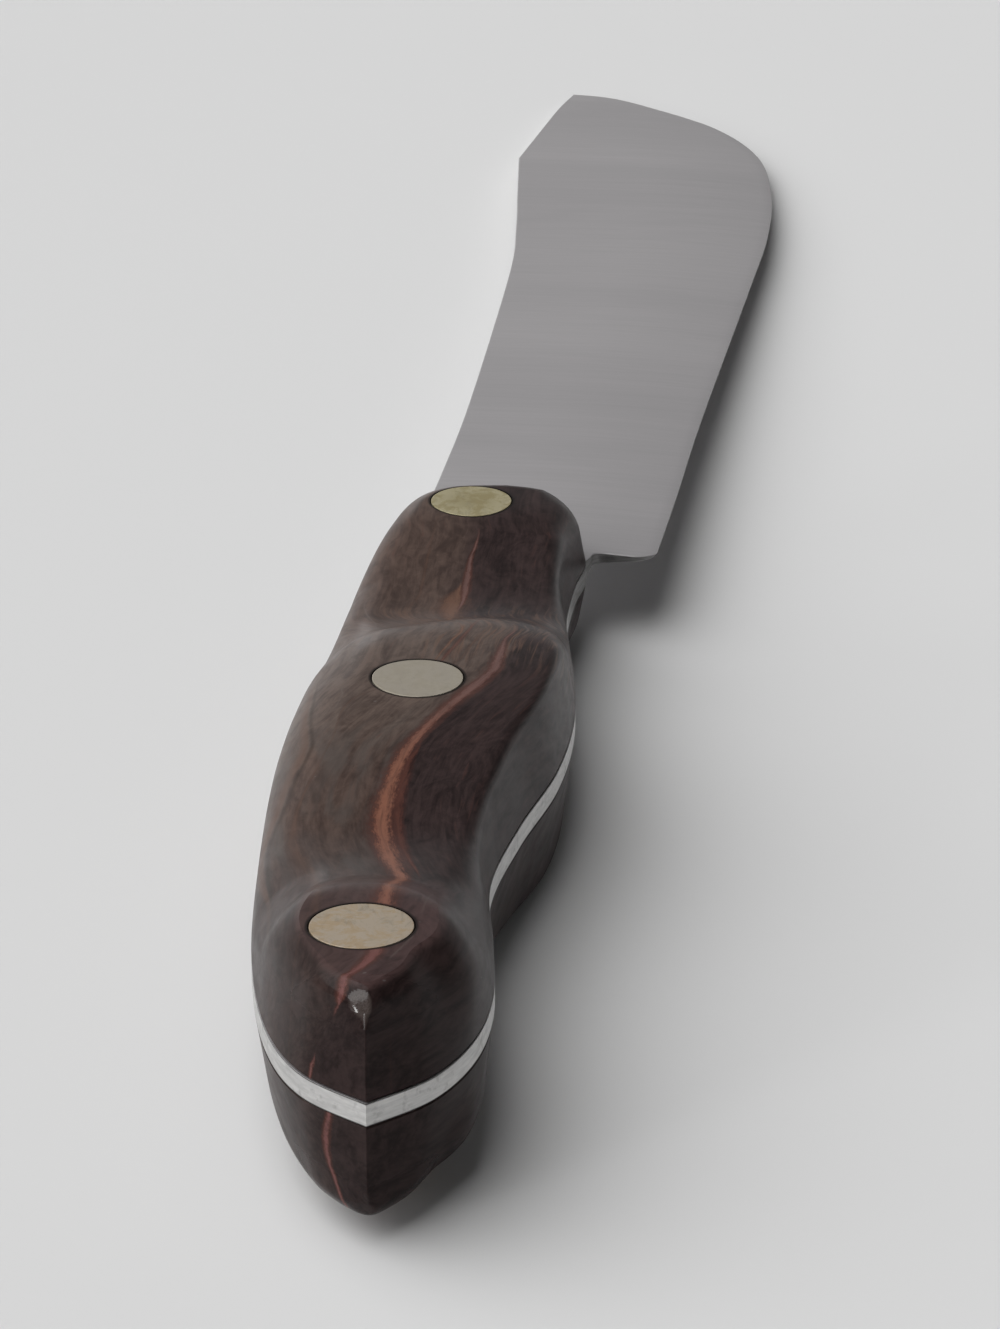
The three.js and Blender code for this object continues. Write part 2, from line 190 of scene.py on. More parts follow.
def piece(name, vertices, faces, material, nodes, slot, sharp=SMOOTH_PIECE):
    """A smooth mesh piece in the row frame that stands for CAD nodes."""
    mesh = bpy.data.meshes.new(name)
    mesh.from_pydata(in_row(vertices), [], faces)
    shape = bmesh.new()
    shape.from_mesh(mesh)
    bmesh.ops.remove_doubles(shape, verts=shape.verts, dist=MERGE)
    bmesh.ops.dissolve_degenerate(shape, edges=shape.edges, dist=MERGE)
    shape.to_mesh(mesh)
    shape.free()
    mesh.polygons.foreach_set("use_smooth", np.ones(len(mesh.polygons), bool))
    mesh.set_sharp_from_angle(angle=math.radians(sharp))
    mesh.materials.append(material)
    obj = bpy.data.objects.new(name, mesh)
    bpy.context.scene.collection.objects.link(obj)
    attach(obj, "root")
    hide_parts(*nodes)
    return obj


# Handle scales. Near its ends, a side that is moved inwards is also drawn along: by a share of the inset
# there, over a reach in millimetres, at the butt and at the front.
BUTT_PULL, BUTT_REACH = 0.9, 24
FRONT_PULL, FRONT_REACH = 0.2, 16
PROBE = 0.03  # half the distance over which a side's direction is measured
INSET_PASSES = 8  # rounds in which the inset of the top and its height settle
# Rounding of the corner at the butt: its width low down, how much it gains, the height where that starts, the
# height over which it grows, its power, and how many vertices on each side of the corner are looked at
PROW_SHARP, PROW_GAIN, PROW_START, PROW_SPAN, PROW_POWER, PROW_NEAR = 0.06, 0.95, 8.2, 2.3, 0.8, 120


class HandleSide:
    """One side of the handle: places along it, the way inwards, the wall's draft, top radius and crease."""

    def __init__(self, points, walls, creases, turn):
        self.line, self.turn = smooth_line(points), turn
        self.length = along(self.line)[-1]
        self.s = self.length * np.linspace(0, 1, STATIONS + 1) ** CROWDING
        x = self.at(self.s)[0][:, 0]
        self.draft, self.radius = np.radians(table(walls, x, 1)), table(walls, x, 2)
        self.crease = np.radians(np.clip(table(creases, x), 0, CREASE_LIMIT))

    def at(self, s):
        """Places and inward ways at distances from the butt."""
        ahead, behind = (
            resample(self.line, np.clip((s + e) / self.length, 0, 1)) for e in (PROBE, -PROBE)
        )
        way = (ahead - behind) / np.linalg.norm(ahead - behind, axis=1)[:, None]
        inward = np.column_stack([-way[:, 1], way[:, 0]]) * self.turn
        return resample(self.line, s / self.length), inward

    def inset(self, depth):
        """The side moved inwards, drawn along near its ends so that it meets the other side."""
        t = np.clip(1 - self.s / BUTT_REACH, 0, 1)
        u = np.clip(1 - (self.length - self.s) / FRONT_REACH, 0, 1)
        back, fore = depth[0] * BUTT_PULL, depth[-1] * FRONT_PULL
        spot, inward = self.at(self.s + back * t * t - fore * u * u)
        return spot + inward * depth[:, None]


def wall_lines(side):
    """Lines along one side of a scale, from the steel up its wall and over the rounding to the top."""
    flat = side.radius
    for _ in range(INSET_PASSES):
        at = side.inset(flat)
        rise = crown(at[:, 0], at[:, 1]) - TANG
        drop = np.minimum(side.radius, rise - 2 * SEAM) * (1 - np.sin(side.draft))
        turn = drop / (np.cos(side.crease) - np.sin(side.draft))
        straight = rise - drop
        flat = straight * np.tan(side.draft) + turn * (np.cos(side.draft) - np.sin(side.crease))
    profile = [(SEAM + 0 * rise, 0 * rise)]
    for t in np.linspace(0, 1, WALL_STEPS, endpoint=False):
        up = SEAM + (straight - SEAM) * t
        profile.append((up * np.tan(side.draft), up))
    for t in np.linspace(0, 1, FILLET_STEPS + 1):
        angle = side.draft + (math.pi / 2 - side.crease - side.draft) * t
        inset = flat - turn * (np.cos(angle) - np.sin(side.crease))
        profile.append((inset, rise - turn * (np.cos(side.crease) - np.sin(angle))))
    lines = []
    for inset, height in profile:
        at = side.inset(inset)
        lean = (crown(at[:, 0], at[:, 1]) - TANG - rise) * height / rise
        lines.append(np.column_stack([at, TANG + height + lean]))
    return lines


def round_prow(ring):
    """Rounds a ring's corner at the butt, more so near the top."""
    growth = np.clip((ring[0, 2] - PROW_START) / PROW_SPAN, 0, 1) ** PROW_POWER
    width = PROW_SHARP + PROW_GAIN * growth
    near = np.arange(-PROW_NEAR, PROW_NEAR + 1) % len(ring)
    p = ring[near]
    s = along(p)
    s -= s[PROW_NEAR]
    step = np.gradient(s)
    for i in np.nonzero(np.abs(s) < 3 * width)[0]:
        w = np.exp(-0.5 * ((s - s[i]) / width) ** 2) * step
        ring[near[i]] = (p * w[:, None]).sum(0) / w.sum()


def scale_blank():
    """Undrilled upper scale: rings up the side walls, then rows across the top."""
    edge_side = HandleSide(EDGE_SIDE, EDGE_WALL, EDGE_CREASE, 1)
    spine_side = HandleSide(SPINE_SIDE, SPINE_WALL, SPINE_CREASE, -1)
    rings = []
    for edge, spine in zip(wall_lines(edge_side), wall_lines(spine_side)):
        for end in (0, -1):
            edge[end] = (edge[end] + spine[end]) / 2
        ring = np.vstack([edge, spine[1:-1][::-1]])
        round_prow(ring)
        rings.append(ring)
    around, n = len(rings[0]), STATIONS
    vertices, faces = [np.vstack(rings)], []
    i = np.arange(around)
    for k in range(len(rings) - 1):
        a, b = k * around + i, k * around + (i + 1) % around
        faces += np.column_stack([a, b, b + around, a + around]).tolist()
    top = (len(rings) - 1) * around
    rows = [top + np.arange(1, n)]
    a, b = rings[-1][1:n], rings[-1][around - np.arange(1, n)]
    for step in range(1, CROWN_STEPS):
        at = a + (b - a) * (step / CROWN_STEPS)
        rows.append(sum(map(len, vertices)) + np.arange(n - 1))
        vertices.append(np.column_stack([at[:, :2], crown(at[:, 0], at[:, 1])]))
    rows.append(top + around - np.arange(1, n))
    for low, high in zip(rows[:-1], rows[1:]):
        faces += np.column_stack([low[:-1], low[1:], high[1:], high[:-1]]).tolist()
        faces += [[top, int(low[0]), int(high[0])], [int(low[-1]), top + n, int(high[-1])]]
    k = np.arange(1, n - 1)
    faces += np.column_stack([k, around - k, around - k - 1, k + 1]).tolist()
    faces += [[0, around - 1, 1], [n - 1, n + 1, n]]
    vertices = np.vstack(vertices)
    # The corner at the butt is worn down to a small slanted facet
    over = np.where(vertices[:, 0] < WEAR_END, vertices @ WEAR_WAY - WEAR_REACH, -UNWORN)
    worn = np.where(over > -WEAR_FADE, (over + np.sqrt(over**2 + WEAR_SOFT**2)) / 2, 0)
    return vertices - worn[:, None] * WEAR_WAY, faces


def mirrored(vertices, faces):
    """A shape on the other side of the steel."""
    return vertices * (1, 1, -1), [face[::-1] for face in faces]


def circle(spot, radius, z):
    """A ring of points about a spot, at a height or at one height for each point."""
    turn = np.arange(ROUND_STEPS) * 2 * math.pi / ROUND_STEPS
    return np.column_stack([spot[0] + radius * np.cos(turn), spot[1] + radius * np.sin(turn), 0 * turn + z])


def turned(spot, rows):
    """A closed turned shape about Z, from (radius, height) rows from its foot to its head."""
    rings = [circle(spot, radius, z) for radius, z in rows]
    i = np.arange(ROUND_STEPS)
    j = (i + 1) % ROUND_STEPS
    faces = [i[::-1].tolist(), (i + (len(rows) - 1) * ROUND_STEPS).tolist()]
    for k in range(len(rows) - 1):
        low, high = k * ROUND_STEPS, (k + 1) * ROUND_STEPS
        faces += np.column_stack([low + i, low + j, high + j, high + i]).tolist()
    return np.vstack(rings), faces


def drill(obj, side):
    """Counterbores and holes for the rivets, cut into a scale."""
    vertices, faces = [], []
    for spot in RIVETS.values():
        seat = float(crown(*spot)) - HEAD_H
        wide, narrow = HEAD_R + CLEAR, TUBE_R + CLEAR
        v, f = turned(spot, [(narrow, 0), (narrow, seat), (wide, seat), (wide, DRILL_TOP)])
        if side < 0:
            v, f = mirrored(v, f)
        faces += [[k + sum(map(len, vertices)) for k in face] for face in f]
        vertices.append(v)
    mesh = bpy.data.meshes.new("drills")
    mesh.from_pydata(in_row(np.vstack(vertices)), [], faces)
    drills = bpy.data.objects.new("drills", mesh)
    bpy.context.scene.collection.objects.link(drills)
    cut = obj.modifiers.new("drill", "BOOLEAN")
    cut.operation, cut.solver, cut.object = "DIFFERENCE", "EXACT", drills
    drilled = bpy.data.meshes.new_from_object(obj.evaluated_get(bpy.context.evaluated_depsgraph_get()))
    obj.modifiers.clear()
    obj.data = drilled
    drilled.set_sharp_from_angle(angle=math.radians(SMOOTH_SCALE))
    bpy.data.objects.remove(drills)


# Rivets
def rivet(blank, spot, below):
    """One rivet half: a flush head that follows the scale, and the (radius, height) rows of its shank."""
    tree = BVHTree.FromPolygons(blank[0].tolist(), blank[1])
    seat = float(crown(*spot)) - HEAD_H
    rim = [(radius, 0.0) for radius in HEAD_RINGS]
    rim += [
        (HEAD_R - HEAD_BREAK * (1 - math.sin(a)), HEAD_BREAK * (1 - math.cos(a))) for a in BREAK_ANGLES
    ]
    rings = []
    for radius, drop in rim:
        ring = circle(spot, radius, 0.0)
        ring[:, 2] = [tree.ray_cast((x, y, RAY_TOP), (0, 0, -1))[0].z - drop for x, y, _ in ring]
        rings.append(ring)
    rings += [circle(spot, radius, z) for radius, z in [(HEAD_R, seat)] + below(seat)]
    middle = tree.ray_cast((*spot, RAY_TOP), (0, 0, -1))[0]
    last = (*spot, rings[-1][0, 2])
    vertices = np.vstack(rings + [[tuple(middle), last]])
    i = np.arange(ROUND_STEPS)
    j = (i + 1) % ROUND_STEPS
    centre, bottom = len(vertices) - 2, len(vertices) - 1
    faces = [[centre, int(a), int(b)] for a, b in zip(i, j)]
    for k in range(len(rings) - 1):
        low, high = k * ROUND_STEPS, (k + 1) * ROUND_STEPS
        faces += np.column_stack([low + i, high + i, high + j, low + j]).tolist()
    k = (len(rings) - 1) * ROUND_STEPS
    faces += [[bottom, int(k + b), int(k + a)] for a, b in zip(i, j)]
    return vertices, faces


def pin_below(seat):
    """The pin's solid shank, under a head on this seat."""
    return [(PIN_R, seat), (PIN_R, END_GAP - seat)]


def tube_below(seat):
    """The tube's shank and its bore, under a head on this seat."""
    end = END_GAP - seat
    return [(TUBE_R, seat), (TUBE_R, end), (TUBE_BORE, end), (TUBE_BORE, seat + BORE_ROOF)]


# Blade. The edge side and the spine side are cut into spans, each with its number of steps: tang, choil,
# heel's side, heel's rounding, straight part, belly and tip. SPINE_STOPS are the x where all but the last end
# on the spine side. The straight part and the belly also end at an x on the edge side.
SPAN_STEPS = (300, 16, 8, 20, 300, 110, 160)
SPINE_STOPS = (136, 139, 140.5, 143.5, 285, 324)
STRAIGHT_END, BELLY_END = 285, 335
# Broken corners of the outline: widest, share of the half thickness, and the least share of that, on the
# tang, which grows to the whole past BREAK_START
BREAK_MOST, BREAK_SHARE, BREAK_LEAST, BREAK_START, BREAK_SPAN = 0.12, 0.3, 0.1, 136, 6
END_WIDTH = 3  # width of the steel below which bevel and broken corners shrink
EDGE_FINE, EDGE_SKIP = 200, 8  # samples of each of the edge's spans, and the step of a first search in them
FACE_TURN = 0.5  # upward part of a normal below which a face belongs to the rim


def ground_half(distance):
    """Half the steel's thickness at a distance from the edge."""
    left = np.clip((GRIND - distance) / (GRIND - BEVEL), 0, 1)
    half = TANG + (BEVEL_HALF - TANG) * left**2
    bevel = EDGE_HALF + (BEVEL_HALF - EDGE_HALF) * np.clip(distance, 0, BEVEL) / BEVEL
    return np.where(distance < BEVEL, bevel, half)


def arc(centre, radius, start, end, steps):
    """Points on an arc between two angles in degrees."""
    a = np.radians(np.linspace(start, end, steps))
    return np.column_stack([centre[0] + radius * np.cos(a), centre[1] + radius * np.sin(a)])


def blade_sides():
    """Matching points along the edge side and the spine side, from the butt to the tip."""
    tang_edge, tang_spine = smooth_line(EDGE_SIDE), smooth_line(SPINE_SIDE)
    edge, spine = smooth_line(BLADE_EDGE), smooth_line(BLADE_SPINE)
    # The tip is where the edge's curve meets the straight clip
    clip_start = np.array(BLADE_SPINE[-1], float)
    clip = np.array(TIP) - clip_start
    beyond = np.cross(clip, edge - clip_start) > 0
    last = np.nonzero(~beyond)[0][-1]
    a, b = edge[last], edge[last + 1]
    sa, sb = np.cross(clip, a - clip_start), np.cross(clip, b - clip_start)
    tip = a + (b - a) * (sa / (sa - sb))
    tang_edge = tang_edge[tang_edge[:, 0] < HEEL_X - CHOIL_R - TANG_STOP]
    choil = arc((HEEL_X - CHOIL_R, CHOIL_Y - CHOIL_R), CHOIL_R, 90, 0, CHOIL_STEPS)
    heel_x, heel_y = HEEL_X + HEEL_R, BLADE_EDGE[0][1] + HEEL_R
    heel = arc((heel_x, heel_y), HEEL_R, 180, 270, HEEL_STEPS)
    edge = edge[:last + 1]
    edge = edge[edge[:, 0] > heel_x + HEEL_STOP]
    fore_y = np.interp(heel_x, edge[:, 0], edge[:, 1])
    heel[:, 1] = heel_y - (heel_y - heel[:, 1]) * (heel_y - fore_y) / HEEL_R
    tang_spine = tang_spine[tang_spine[:, 0] < BLADE_SPINE[0][0]]
    spine_line = np.vstack([tang_spine, spine, tip])
    edge_line = np.vstack([tang_edge, choil, heel, edge, tip])
    e, s = along(edge_line), along(spine_line)
    corner = len(tang_edge)
    fore = corner + CHOIL_STEPS
    edge_stops = [e[k] for k in (corner - 1, fore - 1, fore, fore + HEEL_STEPS - 1)]
    edge_stops += [e[np.argmax(edge_line[:, 0] > x)] for x in (STRAIGHT_END, BELLY_END)]
    spine_stops = np.interp(SPINE_STOPS, spine_line[:, 0], s).tolist()

    def places(stops):
        out = [0.0]
        for start, end, steps in zip(stops[:-1], stops[1:], SPAN_STEPS):
            out += np.linspace(start, end, steps + 1)[1:].tolist()
        return np.array(out)

    at_e, at_s = places([0, *edge_stops, e[-1]]), places([0, *spine_stops, s[-1]])
    return resample(edge_line, at_e / e[-1]), resample(spine_line, at_s / s[-1])


def blade_mesh():
    """Ground steel: a grid from edge to spine on both faces, with the outline's corners broken."""
    low, high = blade_sides()
    edge = smooth_line(BLADE_EDGE, EDGE_FINE)
    n = len(low)

    def inward(line, turn):
        way = np.gradient(line, axis=0)
        way /= np.linalg.norm(way, axis=1)[:, None]
        return np.column_stack([-way[:, 1], way[:, 0]]) * turn

    def half(points):
        gaps = np.linalg.norm(points[:, None] - edge[None, ::EDGE_SKIP], axis=2)
        distance, best = gaps.min(axis=1), gaps.argmin(axis=1) * EDGE_SKIP
        for k in range(-EDGE_SKIP, EDGE_SKIP + 1):
            close = edge[np.clip(best + k, 0, len(edge) - 1)]
            distance = np.minimum(distance, np.linalg.norm(points - close, axis=1))
        blend = np.clip((points[:, 0] - (BLADE_EDGE[0][0] - RUNOUT)) / RUNOUT, 0, 1)
        return TANG + (ground_half(distance) - TANG) * blend

    def broken(line):
        grown = np.clip((line[:, 0] - BREAK_START) / BREAK_SPAN, BREAK_LEAST, 1)
        return (np.minimum(BREAK_MOST, BREAK_SHARE * half(line)) * grown)[:, None]

    in_low, in_high = inward(low, 1), inward(high, -1)
    broken_low, broken_high = broken(low), broken(high)
    fade = np.clip(np.linalg.norm(high - low, axis=1) / END_WIDTH, 0, 1)[:, None]
    first = low + in_low * broken_low * fade
    second = low + in_low * BEVEL * fade
    final = high + in_high * broken_high * fade
    steps = np.linspace(0, 1, ACROSS_STEPS)
    lines = [low, first] + [second + (final - second) * t for t in steps] + [high]
    heights = [half(line) for line in lines]
    heights[0] = heights[0] - broken_low[:, 0]
    heights[-1] = heights[-1] - broken_high[:, 0]
    upper = np.vstack([np.column_stack([line, z]) for line, z in zip(lines, heights)])
    count = len(upper)
    vertices = np.vstack([upper, upper * (1, 1, -1)])
    faces = []
    i = np.arange(n - 1)
    for k in range(len(lines) - 1):
        a, b = k * n + i, (k + 1) * n + i
        faces += np.column_stack([a, a + 1, b + 1, b]).tolist()
        faces += (np.column_stack([a, b, b + 1, a + 1]) + count).tolist()
    far = (len(lines) - 1) * n
    faces += np.column_stack([i, i + count, i + 1 + count, i + 1]).tolist()
    faces += np.column_stack([far + i, far + i + 1, far + i + 1 + count, far + i + count]).tolist()
    return vertices, faces


# Marbled resin. Each vein is a route of (way, y, half width) rows, where the way is x plus the height over
# the middle of the steel.
UPPER_VEINS = {
    "vein_orange": [
        (4, 5.7, 0), (5.5, 5.5, 0.16), (6.8, 5.3, 0.2), (7.8, 5, 0), (11.6, 2.7, 0), (12.6, 2.5, 0.36),
        (14.4, 2.3, 0.48), (15.6, 2.2, 0.44), (16.4, 1.7, 0.4), (17.7, 1.1, 0.53), (19.1, 0.6, 0.67),
        (20.8, 0.3, 0.75), (31.6, 0.7, 1.1), (33.6, 0.7, 1.1), (36.4, 0.5, 0.84), (37.8, 0.1, 0.84),
        (40.6, 0.9, 0.94), (43.9, 2.1, 1.05), (47.8, 3.3, 1.1), (51.8, 4, 1.07), (56, 4.1, 0.98),
        (60.3, 4, 0.89), (64.1, 3.7, 0.82), (67.7, 3.3, 0.76), (71, 2.6, 0.7), (74.4, 1.5, 0.72),
        (78.6, 0.1, 0.76), (82.5, -1.4, 0.8), (85.2, -2.6, 0.76), (88.8, -3.7, 0.66), (92.8, -3.9, 0.5),
        (97.4, -4.1, 0.21), (102.6, -4.6, 0.05), (109.3, 2.4, 0), (115, 2.8, 0.22), (118.4, 2.9, 0.4),
        (122.7, 3, 0.36), (126.9, 3.1, 0.24), (130.5, 2.9, 0.16), (134.4, 2.8, 0.08), (138.5, 3.3, 0),
        (150, 3.6, 0),
    ],
    "vein_red": [
        (3, -2, 0.05), (38, -1.5, 0.05), (44.1, 0.4, 0.3), (48.5, 1.7, 0.48), (53, 2.5, 0.49),
        (57.3, 2.8, 0.49), (61.6, 2.8, 0.5), (66, 2.6, 0.35), (70, 2, 0.05), (85, 3, 0.05), (91.9, 1.7, 0.21),
        (96.6, 0.7, 0.23), (101.2, -0.1, 0.2), (108.3, -0.9, 0), (150, 0, 0),
    ],
    "vein_tan": [
        (3, 8, 0.05), (60, 6, 0.05), (86, 3.4, 0.05), (92.2, 2.4, 0.13), (95.8, 1.7, 0.16),
        (100.4, 0.9, 0.16), (106, 3, 0), (109, 3.5, 0.8), (112, 3.8, 1.5), (115, 3.8, 1.3),
        (118, 3.6, 0.4), (121, 3.6, 0), (150, 7, 0),
    ],
    "vein_brown": [
        (20, 6.5, 0), (25, 6.6, 0), (30, 6.8, 0.4), (34.5, 7.4, 0.56), (39, 8.8, 0.75), (43.7, 10.8, 0.77),
        (47.9, 12.3, 0.58), (56, 12.6, 0.2), (70, 11, 0.1), (80, 9.8, 0.14), (86, 3, 0.02), (90.9, 0.2, 0.13),
        (94.8, -0.5, 0.16), (99.4, -1.5, 0.16), (107.9, -2.2, 0.02), (113, 7.2, 0.1), (117.2, 7.8, 0.17),
        (122, 7.9, 0.17), (126.8, 8, 0.17), (131.7, 8, 0.1), (150, 8, 0.02),
    ],
    "vein_dark": [
        (20, 10, 0.05), (35, 12.5, 0.1), (41.1, 13.9, 0.2), (47.3, 14.9, 0.24), (51.7, 14.8, 0.24),
        (55.8, 14.2, 0.24), (61.3, 13.9, 0.22), (65.2, 13.4, 0.22), (69.2, 13, 0.22), (75.2, 14, 0.2),
        (81.3, 14.5, 0.18), (92, 15, 0), (150, 10, 0),
    ],
    "vein_pale": [
        (3, 0, 0), (18, -1, 0), (19.9, -1.4, 0.12), (22.2, -2.2, 0.13), (24.7, -2.8, 0.12), (27, -3, 0),
        (30.5, -3, 0.1), (34.9, -3.3, 0.1), (37, -3.5, 0), (75, 12, 0), (77.7, 11.6, 0.12),
        (80.5, 11.3, 0.13), (83.8, 10.8, 0.12), (86, 4, 0), (90, -4.4, 0), (93.7, -4.5, 0.12),
        (97.5, -5, 0.13), (102.5, -5, 0.1), (103.5, 4, 0), (104, 9.9, 0.13), (107, 11.7, 0.14),
        (110.2, 13.1, 0.14), (113.4, 13.8, 0.13), (115.6, 13.5, 0.1), (118, 12, 0), (150, 8, 0),
    ],
}
LOWER_VEINS = {
    "vein_orange": [
        (3, 3.5, 0.24), (5.3, 3.8, 0.28), (7, 4, 0.33), (8.9, 4, 0.33), (10.2, 3.7, 0.3), (11.3, 3.1, 0.27),
        (12.8, 2.5, 0.24), (17, 0.8, 0.4), (25, -1.4, 0.6), (36, -1, 0.9), (48, 1.5, 1.0), (60, 5, 0.8),
        (72, 8.2, 0.5), (84, 9.5, 0.35), (98, 7.6, 0.3), (112, 4, 0.5), (124, 2.4, 0.6), (136, 3, 0.3),
        (150, 4, 0.1),
    ],
    "vein_red": [
        (3, 0, 0), (22, 5, 0), (40, 8, 0.5), (60, 9, 0.3), (90, 3, 0.4), (120, 7, 0.3), (150, 6, 0.1),
    ],
    "vein_tan": [
        (3, -3, 0), (20, -4, 0), (32, -4, 0.3), (55, -3, 0.5), (80, 0, 0.3), (110, -2, 0.4), (150, 0, 0.1),
    ],
    "vein_brown": [
        (3, 6, 0), (22, 9, 0), (30, 10, 0.4), (60, 13, 0.3), (100, 12, 0.5), (150, 9, 0.2),
    ],
    "vein_dark": [
        (3, 2, 0), (25, -2, 0), (45, -5, 0.3), (75, -7, 0.3), (115, -5, 0.3), (150, -2, 0.1),
    ],
    "vein_pale": [
        (3, 0, 0), (40, 6, 0), (48, 7, 0.14), (62, 8, 0.12), (70, 8, 0), (96, -6, 0.12), (106, -5, 0),
        (150, 0, 0),
    ],
}
VEIN_THINNEST = 0.1  # least half width by which a distance from a vein is divided
VEIN_FAR = 60  # most half widths that are stored
VEIN_GONE, VEIN_FADE = 0.04, 0.1  # half width at which a vein ends, and over which it comes in


def marble(obj, veins, side):
    """Stores per vertex the veins, the marbling's flow, and the distances from rivets, top and worn facet."""
    co = np.empty(len(obj.data.vertices) * 3)
    obj.data.vertices.foreach_get("co", co)
    x, y, z = (co.reshape(-1, 3) * 1000 - OFFSET).T
    z = side * z
    way = x + z

    def store(name, kind, field, values):
        obj.data.attributes.new(name, kind, "POINT").data.foreach_set(field, np.ravel(values))

    for name, rows in veins.items():
        half = table(rows, way, 2)
        away = (y - table(rows, way, 1)) / np.maximum(half, VEIN_THINNEST)
        away = np.clip(away, -VEIN_FAR, VEIN_FAR)
        presence = np.clip((half - VEIN_GONE) / VEIN_FADE, 0, 1)
        store(name, "FLOAT_VECTOR", "vector", np.column_stack([away, presence, 0 * away]))
    from_main = y - table(veins["vein_orange"], way, 1)
    store("flow", "FLOAT_VECTOR", "vector", np.column_stack([way, from_main, z]))
    gaps = [np.hypot(x - spot[0], y - spot[1]) - HEAD_R for spot in RIVETS.values()]
    store("from_rivet", "FLOAT", "value", np.min(gaps, axis=0))
    store("below_top", "FLOAT", "value", crown(x, y) - z)
    # Only the upper scale's facet shows wear
    below_facet = WEAR_REACH - np.column_stack([x, y, z]) @ WEAR_WAY
    facet = np.where((x < WEAR_END) & (side > 0), below_facet, UNWORN)
    store("from_facet", "FLOAT", "value", facet)
    polished = (facet < POLISH_SPREAD) & (z > POLISH_LOW)
    for face in obj.data.polygons:
        face.material_index = int(polished[list(face.vertices)].all())


class Shading:
    """A node tree with short calls. A value is a number, a colour or another node's output."""

    def __init__(self, tree):
        self.tree = tree

    def feed(self, sockets, values):
        """Sets or links inputs."""
        for key, value in values.items():
            if isinstance(value, bpy.types.NodeSocket):
                self.tree.links.new(value, sockets[key])
            else:
                sockets[key].default_value = value

    def node(self, kind, inputs=None, **settings):
        """A new node's outputs."""
        made = self.tree.nodes.new("ShaderNode" + kind)
        for key, value in settings.items():
            setattr(made, key, value)
        self.feed(made.inputs, inputs or {})
        return made.outputs

    def math(self, operation, first, second=0.0):
        return self.node("Math", {0: first, 1: second}, operation=operation)[0]

    def product(self, first, *others):
        for other in others:
            first = self.math("MULTIPLY", first, other)
        return first

    def total(self, first, *others):
        for other in others:
            first = self.math("ADD", first, other)
        return first

    def swing(self, noise, reach):
        """Noise about its middle, times a reach."""
        return self.product(self.math("SUBTRACT", noise, 0.5), reach)

    def mix(self, share, first, second):
        """One colour over another by a share."""
        return self.node("Mix", {0: share, 6: first, 7: second}, data_type="RGBA")[2]

    def spread(self, value, low, high, to_low=0.0, to_high=1.0):
        """A smooth step of a value between two bounds."""
        step = {0: value, 1: low, 2: high, 3: to_low, 4: to_high}
        return self.node("MapRange", step, interpolation_type="SMOOTHSTEP")[0]

    def noise(self, vector, scale, size=1.0, detail=4.0, roughness=0.6, distortion=0.0):
        """Noise over a vector stretched by a scale."""
        moved = self.node("Mapping", {"Vector": vector, "Scale": scale})[0]
        settings = {
            "Vector": moved, "Scale": size, "Detail": detail, "Roughness": roughness, "Distortion": distortion
        }
        return self.node("TexNoise", settings)[0]

    def bump(self, height, strength, distance):
        return self.node("Bump", {"Height": height, "Strength": strength, "Distance": distance})[0]

    def attribute(self, name, output="Fac"):
        return self.node("Attribute", attribute_name=name)[output]

    def split(self, vector):
        parts = self.node("SeparateXYZ", {0: vector})
        return parts["X"], parts["Y"], parts["Z"]


def rgb(*values):
    return (*values, 1.0)


def material(name):
    """A new material, its nodes and the inputs of its shader."""
    made = bpy.data.materials.new(name)
    made.use_nodes = True
    return made, Shading(made.node_tree), made.node_tree.nodes["Principled BSDF"].inputs


# Veins in the order in which they are laid: colour at the sides, colour in the middle, strength. The main
# vein's middle is dusty pink at the butt, orange in the dip and brown towards the front.
MAIN_PINK, MAIN_ORANGE, MAIN_BROWN = rgb(0.165, 0.07, 0.064), rgb(0.235, 0.1, 0.065), rgb(0.15, 0.082, 0.072)
VEIN_LOOKS = {
    "vein_dark": (rgb(0.03, 0.018, 0.012), rgb(0.02, 0.012, 0.008), 0.5),
    "vein_brown": (rgb(0.06, 0.035, 0.027), rgb(0.09, 0.05, 0.036), 0.5),
    "vein_tan": (rgb(0.09, 0.045, 0.031), rgb(0.165, 0.085, 0.056), 0.75),
    "vein_pale": (rgb(0.09, 0.07, 0.062), rgb(0.13, 0.105, 0.095), 0.4),
    "vein_red": (rgb(0.06, 0.02, 0.015), rgb(0.115, 0.042, 0.03), 0.65),
    "vein_orange": (rgb(0.085, 0.032, 0.024), None, 0.95),
}
BESIDE_DARK = rgb(0.105, 0.062, 0.046)
# Pairs are the darkest and the palest of a marbled colour
EDGE_BROWN = rgb(0.015, 0.0095, 0.0095), rgb(0.045, 0.029, 0.028)
SPINE_BROWN = rgb(0.05, 0.033, 0.028), rgb(0.108, 0.073, 0.06)
WARM_BROWN = rgb(0.066, 0.047, 0.04), rgb(0.145, 0.11, 0.092)
# Partly scuffing, partly a painted reflection on the butt's flat top
SCUFF_AND_SHEEN_BROWN = rgb(0.05, 0.028, 0.027), rgb(0.117, 0.07, 0.067)
# Partly scuffing, partly a painted reflection on the worn facet
FACET_SCUFF_AND_SHEEN = rgb(0.05, 0.038, 0.034), rgb(0.088, 0.07, 0.064)
# The first colour here is partly the butt's own dark tone and partly painted shade
BUTT_DARK_AND_SHADE, PALM_GREY = rgb(0.012, 0.006, 0.005), rgb(0.089, 0.075, 0.068)
RED_HAIR, TAN_FAN = rgb(0.09, 0.036, 0.027), rgb(0.13, 0.075, 0.053)
# The second colour here is partly grime and partly painted shade round the rivets
SPECK, RIVET_SEAM_GRIME_AND_SHADE = rgb(0.17, 0.155, 0.15), rgb(0.008, 0.006, 0.005)
POLISHED_ROUGHNESS = 0.09


